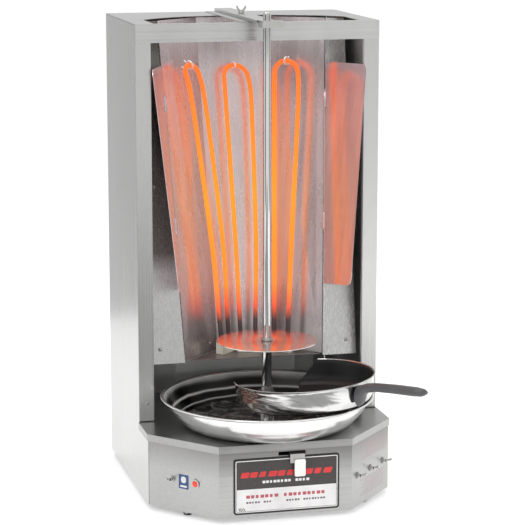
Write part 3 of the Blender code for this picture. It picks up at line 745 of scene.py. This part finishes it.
# ---------------------------------------------------------------- skillet
across = Vector((0, 1, 0)).cross(SK_N).normalized()
SK_AT = Matrix.Translation(SK_C) @ Matrix((across, SK_N.cross(across), SK_N)).transposed().to_4x4()
outer = spline(
    [(SK_R, 0.0), (0.1303, -0.0012), (0.1276, -0.0050), (0.1262, -0.0200)]
    + [(0.1245, -0.0330), (0.1205, -0.0425), (0.1130, -SK_H)]
)
outer += [(0.0900, -SK_H), (0.0880, -SK_H + 0.0006), (0.0, -SK_H + 0.0006)]
inner = [(0.0, -0.0455)] + spline(
    [(0.1110, -0.0455), (0.1180, -0.0405), (0.1220, -0.0325)]
    + [(0.1238, -0.0200), (0.1252, -0.0050), (0.1285, 0.0)]
)
skillet = lathe("skillet_shell", outer + inner, Matrix.Identity(4), 192)
# The cone-shaped bite that lets the skillet stand round the spit
BITE_X, BITE_Y, BITE_R, BITE_FLARE = -0.0664, 0.1198, 0.125, 0.86
bite_rings = []
for h in (-0.060, 0.010):
    rim = circle(BITE_R + h * BITE_FLARE, 144)
    bite_rings.append([(BITE_X + x, BITE_Y + y, h) for x, y in rim])
bite = rings_mesh("bite", bite_rings)
MADE.objects.link(bite)
MADE.objects.link(skillet)
cut = skillet.modifiers.new("bite", "BOOLEAN")
cut.object = bite
cut.solver = "EXACT"
baked = evaluated(skillet)
bpy.data.objects.remove(bite, do_unlink=True)
skillet = bpy.data.objects.new("skillet_shell", baked)
baked.transform(SK_AT)
baked.materials.clear()
finished(skillet, [M["skillet"], M["nonstick"]], "skillet", "skillet_pan", 30)
BACK = SK_AT.inverted()
for face in baked.polygons:
    p = BACK @ face.center
    n = BACK.to_3x3() @ face.normal
    r = Vector((p.x, p.y)).length
    on_base = n.z > 0.5 and p.z < -0.03
    on_wall = p.x * n.x + p.y * n.y < -0.02 * r and p.z < -0.0008 and r > 0.10
    face.material_index = 1 if on_base or on_wall else 0
turn = radians(SK_DEG)
OUT, SIDE = Vector((cos(turn), sin(turn), 0)), Vector((-sin(turn), cos(turn), 0))


def on_handle(r, w, h):
    """A point r out along the handle, w to its side and h above the skillet's rim."""
    return SK_AT @ (OUT * r + SIDE * w + Vector((0, 0, h)))


# Along the handle: distance out, height, half height and half width
STATIONS = (
    (0.1306, -0.0225, 0.0195, 0.0140),
    (0.1370, -0.0200, 0.0180, 0.0135),
    (0.1420, -0.0125, 0.0120, 0.0120),
    (0.1500, -0.0060, 0.0085, 0.0105),
    (0.1750, -0.0020, 0.0078, 0.0110),
    (0.2150, 0.0000, 0.0080, 0.0125),
    (0.2600, 0.0010, 0.0080, 0.0135),
    (0.2760, 0.0010, 0.0068, 0.0115),
    (0.2830, 0.0010, 0.0036, 0.0070),
)
rings = []
for r, h, tall, wide in STATIONS:
    rings.append([on_handle(r, wide * c, h + tall * e) for c, e in circle(1.0, 24)])
handle = rings_mesh("skillet_grip", rings)
finished(handle, M["plastic"], "skillet", "skillet_handle", 70)


# ---------------------------------------------------------------- name plate and handle
def flat_plate(name, x0, x1, z0, z1, y0, y1, radius, hole=0.0):
    """Thin plate facing -Y with rounded corners; hole leaves a frame of that width."""

    def loop(grow):
        left, right, low, high = x0 - grow, x1 + grow, z0 - grow, z1 + grow
        corners = [(left, low), (right, low), (right, high), (left, high)]
        return round_corner(corners, max(radius + grow, 0.0002), 6)

    if not hole:
        return rings_mesh(name, [[(x, y, z) for x, z in loop(0.0)] for y in (y0, y1)])
    bm = bmesh.new()
    rows = []
    for grow, y in ((0.0, y0), (0.0, y1), (-hole, y1), (-hole, y0)):
        rows.append([bm.verts.new((x, y, z)) for x, z in loop(grow)])
    bridge(bm, rows + rows[:1])
    return from_bmesh(name, bm)


# Name plate: its outline, then the faces of the metal, of the first ink and of the second, front to back
PX0, PX1, PZ0, PZ1 = -0.0970, 0.0990, 0.0072, 0.1102
INK_2_Y, INK_1_Y, PLATE_Y, PLATE_BACK_Y = -0.20262, -0.20255, -0.20245, -0.2014
base = soft_edges(flat_plate("plate_black", PX0, PX1, PZ0, PZ1, PLATE_Y, PLATE_BACK_Y, 0.006), 0.0003)
finished(base, M["print_black"], "cabinet", "name_plate")
# Name, colour, inset from the sides, low and high edge, corner radius, and width if it is only a frame
layers = (
    ("plate_rule", "print_white", 0.0035, PZ0 + 0.0035, PZ1 - 0.0035, 0.003, 0.0016),
    ("plate_band", "print_grey", 0.0058, 0.0545, PZ1 - 0.0058, 0.0006, 0.0),
    ("plate_field", "print_white", 0.0058, PZ0 + 0.0058, 0.0535, 0.0006, 0.0),
)
for name, key, inset, z0, z1, radius, width in layers:
    layer = flat_plate(name, PX0 + inset, PX1 - inset, z0, z1, INK_1_Y, PLATE_Y, radius, width)
    finished(layer, M[key], "cabinet", ())


def print_row(name, x0, x1, z0, z1, count, share, slant, key, skip=()):
    """A row of slanted blocks standing for a printed line, with no letters in it."""
    step = (x1 - x0) / count
    rows = []
    for i in range(count):
        if i in skip:
            continue
        a = x0 + i * step
        b = a + step * (share - 0.10 * ((i * 7) % 3))
        shape = round_corner([(a, z0), (b, z0), (b + slant, z1), (a + slant, z1)], (z1 - z0) * 0.18, 3)
        rows.append(rings_mesh("block", [[(x, y, z) for x, z in shape] for y in (INK_2_Y, INK_1_Y)]))
    finished(join(name, rows), M[key], "cabinet", ())


print_row("print_title", -0.0850, 0.0850, 0.0750, 0.0850, 10, 0.88, 0.0035, "print_red")
print_row("print_subtitle", -0.0440, 0.0440, 0.0632, 0.0680, 13, 0.80, 0.0, "print_white", (8,))
print_row("print_field_red", -0.0740, 0.0740, 0.0365, 0.0425, 17, 0.80, 0.0, "print_maroon", (7,))
print_row("print_field_left", -0.0740, -0.0260, 0.0270, 0.0305, 9, 0.76, 0.0, "print_ink", (5,))
print_row("print_field_right", 0.0000, 0.0740, 0.0270, 0.0305, 14, 0.76, 0.0, "print_ink", (5,))
print_row("print_field_mark", -0.0860, -0.0740, 0.0135, 0.0195, 4, 0.60, -0.0030, "print_ink")
corners = [(0.0129, 0.0745), (0.0331, 0.0745), (0.0331, 0.1060), (0.0129, 0.1060)]
outline = round_corner(corners, 0.0035, 5)
grip = rings_mesh("handle_grip", [[(x, y, z) for x, z in outline] for y in (-0.2140, -0.2105)])
finished(soft_edges(grip, 0.0008), M["white"], "carriage", "handle_tab")


# ---------------------------------------------------------------- controls
def chamfer(s, along, z=0.0):
    """A point on a chamfer panel, measured along it from the side corner, and the panel's normal."""
    start, end = Vector((s * HALF_W, CORNER_Y, 0)), Vector((s * FRONT_HALF, FRONT_Y, 0))
    run = (end - start).normalized()
    return start + run * along + Vector((0, 0, z)), Vector((s * abs(run.y), -abs(run.x), 0)).normalized()


def hex_nut(name, place, across_flats, low, high, bore):
    """A bored hexagon with slightly rounded corners."""
    bm = bmesh.new()
    rows = []
    for h, outside in ((high, False), (high, True), (low, True), (low, False)):
        row = []
        for k in range(48):
            a = 2 * pi * k / 48
            flat = across_flats / 2 / cos(a % (pi / 3) - pi / 6)
            reach = min(flat, across_flats / 2 * 1.13) if outside else bore
            row.append(bm.verts.new((reach * cos(a), reach * sin(a), h)))
        rows.append(row)
    bridge(bm, rows + rows[:1])
    bm.transform(place)
    return from_bmesh(name, bm)


BAT_TILT = radians(18)
SWITCHES = (("power", -1, 0.0541), ("heat_1", 1, 0.1339), ("heat_2", 1, 0.0784), ("heat_3", 1, 0.0233))
for label, s, along in SWITCHES:
    p, n = chamfer(s, along, SWITCH_Z)
    place = frame_at(p, n)
    neck = [(0.0, 0.0020), (0.0026, 0.0020), (0.0026, 0.0062)]
    for k in range(5):
        neck += [(0.0031, 0.0060 - k * 0.0012), (0.00285, 0.0054 - k * 0.0012)]
    neck += [(0.0031, -0.0016), (0.0075, -0.0016), (0.0075, -0.0220), (0.0, -0.0220)]
    body = lathe("neck", neck, place, 40)
    ring = [(0.0062, 0.0010), (0.0062, 0.0003), (0.0033, 0.0003), (0.0033, 0.0010)]
    washer = lathe("washer", soften(ring, 0.0002), place, 40)
    nut = hex_nut("nut", place, 0.0108, 0.0011, 0.0028, 0.0033)
    finished(join("toggle_" + label, [body, washer, nut]), M["zinc"], "cabinet", "switch_" + label)
    way = (n * cos(BAT_TILT) + Vector((0, 0, sin(BAT_TILT)))).normalized()
    shape = spline(
        [(0.0, 0.0150), (0.0014, 0.0147), (0.0021, 0.0132), (0.0018, 0.0095)]
        + [(0.0011, 0.0040), (0.0010, 0.0004)],
        5,
    )
    bat = lathe("bat_" + label, shape + [(0.0, 0.0)], frame_at(p + n * 0.0048, way), 32)
    finished(bat, M["bright"], "lever_" + label, "lever_" + label, 50)
p, n = chamfer(-1, LAMP_ALONG, SWITCH_Z - 0.001)
bezel = [(0.0086, 0.0022), (0.0086, 0.0003), (0.0062, 0.0003)]
bezel += [(0.0062, -0.0150), (0.0056, -0.0150), (0.0056, 0.0022)]
lamp_ring = lathe("lamp_ring", soften(bezel, 0.0005), frame_at(p, n), 56)
finished(lamp_ring, M["zinc"], "cabinet", "lamp_bezel")
lens = [(0.0052, -0.0120), (0.0, -0.0120), (0.0, 0.0062)]
lens += spline([(0.0012, 0.0061), (0.0030, 0.0054), (0.0045, 0.0039), (0.0052, 0.0020)], 4)
finished(lathe("lamp_dome", lens, frame_at(p, n), 56), M["lens"], "cabinet", "lamp_lens", 40)


def on_chamfer(name, s, w0, w1, z0, z1, off0, off1, radius, key):
    """Thin rounded plate lying on a chamfer panel, w measured along it from the side corner."""
    rows = []
    for off in (off0, off1):
        row = []
        for w, z in round_corner([(w0, z0), (w1, z0), (w1, z1), (w0, z1)], radius, 4):
            p, n = chamfer(s, w, z)
            row.append(p + n * off)
        rows.append(row)
    finished(rings_mesh(name, rows), M[key], "cabinet", ())


# A small plain badge between the switch and the lamp
on_chamfer("badge_plate", -1, 0.0690, 0.0905, 0.0450, 0.0715, 0.0001, 0.0004, 0.0015, "print_blue")
on_chamfer("badge_dot", -1, 0.0742, 0.0853, 0.0560, 0.0680, 0.0004, 0.0005, 0.0050, "print_white")
on_chamfer("badge_line", -1, 0.0725, 0.0870, 0.0480, 0.0515, 0.0004, 0.0005, 0.0008, "print_white")
# Thin ragged lines stand for the printed notes
for paragraph, top, w0, w1 in (("high", 0.1120, 0.0150, 0.1220), ("low", 0.0450, 0.0220, 0.1240)):
    for i in range(7):
        z = top - i * 0.0046
        end = w1 - 0.009 * ((i * 5) % 3)
        name = f"note_{paragraph}_{i}"
        on_chamfer(name, 1, w0, end, z, z + 0.0011, 0.0001, 0.00016, 0.0004, "print_line")


# ---------------------------------------------------------------- small round parts
def pan_head(name, place, radius):
    """Pan-head screw with a raised cross."""
    shape = ((0.0, 0.62), (0.55, 0.55), (0.9, 0.28), (1.0, 0.0), (0.0, 0.0))
    head = [(r * radius, h * radius) for r, h in shape]
    bars = []
    for w, l in ((0.55, 0.16), (0.16, 0.55)):
        corners = [(x * radius * w, y * radius * l) for x, y in ((-1, -1), (1, -1), (1, 1), (-1, 1))]
        bars.append(rings_mesh("bar", [[(x, y, z * radius) for x, y in corners] for z in (0.40, 0.66)]))
    cap = lathe("cap", soften(head, radius * 0.1), Matrix.Identity(4), 28)
    screw = join(name, [cap] + bars)
    screw.data.transform(place)
    finished(screw, M["zinc"], "cabinet", ())


FEET = (
    ("front_left", -0.165, -0.128), ("front_right", 0.165, -0.128),
    ("rear_left", -0.200, 0.270), ("rear_right", 0.200, 0.270),
)
FOOT = [(0.0, 0.0014), (0.0085, 0.0014), (0.0085, -0.0040), (0.0068, -0.0080)]
FOOT += [(0.0030, -0.0080), (0.0028, -0.0060), (0.0, -0.0060)]
for label, x, y in FEET:
    pad = lathe("pad_" + label, soften(FOOT, 0.0008), Matrix.Translation((x, y, 0)), 40)
    finished(pad, M["rubber"], "cabinet", "foot_" + label)
shape = [(0.0090, 0.0080), (0.0105, 0.0070), (0.0110, 0.0035), (0.0125, 0.0030), (0.0125, 0.0003)]
shape += [(0.0088, 0.0003), (0.0088, -0.0080), (0.0060, -0.0080), (0.0060, 0.0080)]
gland = lathe("inlet_gland", soften(shape, 0.0005), frame_at((0.17, DEPTH, 0.06), (0, 1, 0)), 48)
finished(gland, M["rubber"], "cabinet", "cable_gland")

# Wing screw on the top arm
WING_Y = 0.137
knob = [(0.0, TOP_Z + 0.0118), (0.0055, TOP_Z + 0.0118), (0.0055, TOP_Z + 0.0074)]
knob += [(0.0030, TOP_Z + 0.0074), (0.0030, TOP_Z + 0.0018), (0.0, TOP_Z + 0.0018)]
hub = lathe("hub", soften(knob), Matrix.Translation((0, WING_Y, 0)), 32)
ear = [(-0.0100, 0.8905), (-0.0085, 0.8915), (-0.0060, 0.8885), (-0.0035, 0.8845), (0.0, 0.8830)]
ear += [(0.0035, 0.8845), (0.0060, 0.8885), (0.0085, 0.8915), (0.0100, 0.8905)]
ear += [(0.0080, 0.8850), (0.0045, 0.8800), (-0.0045, 0.8800), (-0.0080, 0.8850)]
ears = rings_mesh("ears", [[(x, WING_Y + y, z) for x, z in ear] for y in (-0.0012, 0.0012)])
finished(soft_edges(join("wing_screw", [hub, ears]), 0.0004, 2), M["zinc"], "arm_screw", "arm_screw")

SLOPE = Vector((0, -1, LEAN)).normalized()
for s in (-1, 1):
    side = "left" if s < 0 else "right"
    for k, z in enumerate((0.262, 0.560)):
        y = 0.122 - (LEAN_Z - z) * LEAN - 0.0012
        pan_head(f"face_screw_{side}_{k}", frame_at((s * 0.180, y, z), SLOPE), 0.0034)
    pan_head(f"flange_screw_{side}_1", frame_at((s * 0.2140, -0.0001, 0.170), (0, -1, 0)), 0.0030)
    for k, (x, y) in enumerate(((0.068, -0.1925), (0.170, -0.1395), (0.120, 0.260))):
        pan_head(f"base_screw_{side}_{k}", frame_at((s * x, y, 0.0012), (0, 0, -1)), 0.0050)
    for k, z in enumerate((0.06, 0.45, 0.82)):
        pan_head(f"back_screw_{side}_{k}", frame_at((s * 0.205, DEPTH + 0.0001, z), (0, 1, 0)), 0.0032)
    # Across the lower end of the reflector's slanting panel, from its rear fold to its front edge
    drop = LEAN_Z - 0.255
    fold = Vector((s * (0.0693 - drop * 0.0286), 0.2 - drop * LEAN, 0.255))
    edge = edge_point(s, 0.255)
    face = Vector((-(edge - fold).y * s, (edge - fold).x * s, 0)).normalized()
    face = face if face.y < 0 else -face
    for k, share in enumerate((0.22, 0.78)):
        spot = frame_at(fold.lerp(edge, share) + face * 0.0002, face)
        pan_head(f"reflector_screw_{side}_{k}", spot, 0.0028)


# ---------------------------------------------------------------- stage, light and camera
def flat_sheet(name, half):
    """One square facing up, 2 x half on a side."""
    bm = bmesh.new()
    bmesh.ops.create_grid(bm, x_segments=1, y_segments=1, size=half)
    mesh = bpy.data.meshes.new(name)
    bm.to_mesh(mesh)
    bm.free()
    return bpy.data.objects.new(name, mesh)


def stage_floor():
    """Pale floor just under the feet, far larger than the view."""
    obj = flat_sheet("floor", 60.0)
    obj.location = (0, 0, -0.0082)
    t = Tree("floor_pale").set(Roughness=0.7, Emission_Strength=0.30)
    cloud = t.noise(t.stretched((0.6,) * 3), 1.0, 2.0)
    t.to("Base Color", t.ramp(cloud, ((0.3, (0.90, 0.90, 0.90)), (0.7, (0.93, 0.93, 0.93)))))
    t.shader.inputs["Emission Color"].default_value = (1, 1, 1, 1)
    obj.data.materials.append(t.mat)
    MADE.objects.link(obj)


def area(name, place, aim, size, power):
    """Soft rectangular light aimed at a point."""
    light = bpy.data.lights.new(name, "AREA")
    light.shape = "RECTANGLE"
    light.size, light.size_y = size
    light.energy = power
    obj = bpy.data.objects.new(name, light)
    obj.location = place
    obj.rotation_euler = (Vector(aim) - Vector(place)).to_track_quat("-Z", "Y").to_euler()
    MADE.objects.link(obj)


def world():
    """Grey surroundings, brighter at head height than low down."""
    w = bpy.data.worlds.new("studio")
    w.use_nodes = True
    bpy.context.scene.world = w
    nodes, links = w.node_tree.nodes, w.node_tree.links
    ground = nodes["Background"]
    coords = nodes.new("ShaderNodeTexCoord")
    split = nodes.new("ShaderNodeSeparateXYZ")
    links.new(coords.outputs["Generated"], split.inputs[0])
    scale = nodes.new("ShaderNodeMapRange")
    scale.inputs["From Min"].default_value = -0.2
    scale.inputs["From Max"].default_value = 1.0
    links.new(split.outputs["Z"], scale.inputs["Value"])
    ramp = nodes.new("ShaderNodeValToRGB")
    stops = ((0.0, 0.70), (0.16, 0.72), (0.30, 0.92), (0.70, 0.98), (1.0, 0.86))
    while len(ramp.color_ramp.elements) < len(stops):
        ramp.color_ramp.elements.new(0.5)
    for element, (place, value) in zip(ramp.color_ramp.elements, stops):
        element.position = place
        element.color = (value, value, value, 1)
    links.new(scale.outputs["Result"], ramp.inputs["Fac"])
    links.new(ramp.outputs["Color"], ground.inputs["Color"])
    ground.inputs["Strength"].default_value = 0.85


def card(name, centre, size, facing, value):
    """A grey studio card, out of the camera's sight, that the polished steel reflects."""
    obj = flat_sheet(name, 0.5)
    obj.scale = (*size, 1.0)
    obj.rotation_euler = Vector(facing).to_track_quat("Z", "Y").to_euler()
    obj.location = centre
    obj.visible_camera = False
    obj.visible_shadow = False
    obj.visible_diffuse = False
    t = Tree(name).set(Roughness=1.0, Emission_Strength=value)
    cloud = t.noise(t.stretched((1.4,) * 3), 1.0, 2.0)
    t.to("Emission Color", t.ramp(cloud, ((0.3, (0.90, 0.90, 0.90)), (0.7, (1.0, 1.0, 1.0)))))
    t.shader.inputs["Base Color"].default_value = (0.0, 0.0, 0.0, 1.0)
    obj.data.materials.append(t.mat)
    MADE.objects.link(obj)


stage_floor()
world()
card("card_side", (-2.2, 1.55, 1.25), (3.6, 2.5), (0, -1, 0), 0.55)
card("card_front", (-0.55, -2.0, -0.0060), (2.1, 2.9), (0, 0, 1), 0.42)
card("card_dark_left", (-1.45, -0.95, 0.85), (0.7, 1.3), (0.84, 0.54, 0), 0.06)
card("card_dark_right", (1.45, -0.95, 0.85), (0.7, 1.3), (-0.84, 0.54, 0), 0.10)
area("key", (-2.2, -2.6, 2.6), (0, 0, 0.4), (1.6, 1.6), 30.0)
area("fill", (2.6, -1.8, 1.6), (0, 0, 0.4), (1.2, 2.0), 16.0)
area("top", (0.0, 0.4, 3.0), (0, 0, 0.4), (2.4, 1.6), 22.0)
area("low", (0.5, -2.4, 0.55), (0, 0.15, 0.19), (0.5, 0.3), 9.0)
bpy.data.objects["low"].visible_glossy = False
# The photograph's viewpoint, solved from the cabinet's straight edges
cam = bpy.data.cameras.new("camera")
cam.lens = 143.3
cam.sensor_width = 36.0
cam.clip_end = 60.0
view = bpy.data.objects.new("camera", cam)
view.location = (-0.920, -3.694, 1.146)
view.rotation_euler = Vector((0.2391, 0.9530, -0.1858)).to_track_quat("-Z", "Y").to_euler()
MADE.objects.link(view)
bpy.context.scene.camera = view
bpy.context.scene.view_settings.view_transform = "Standard"
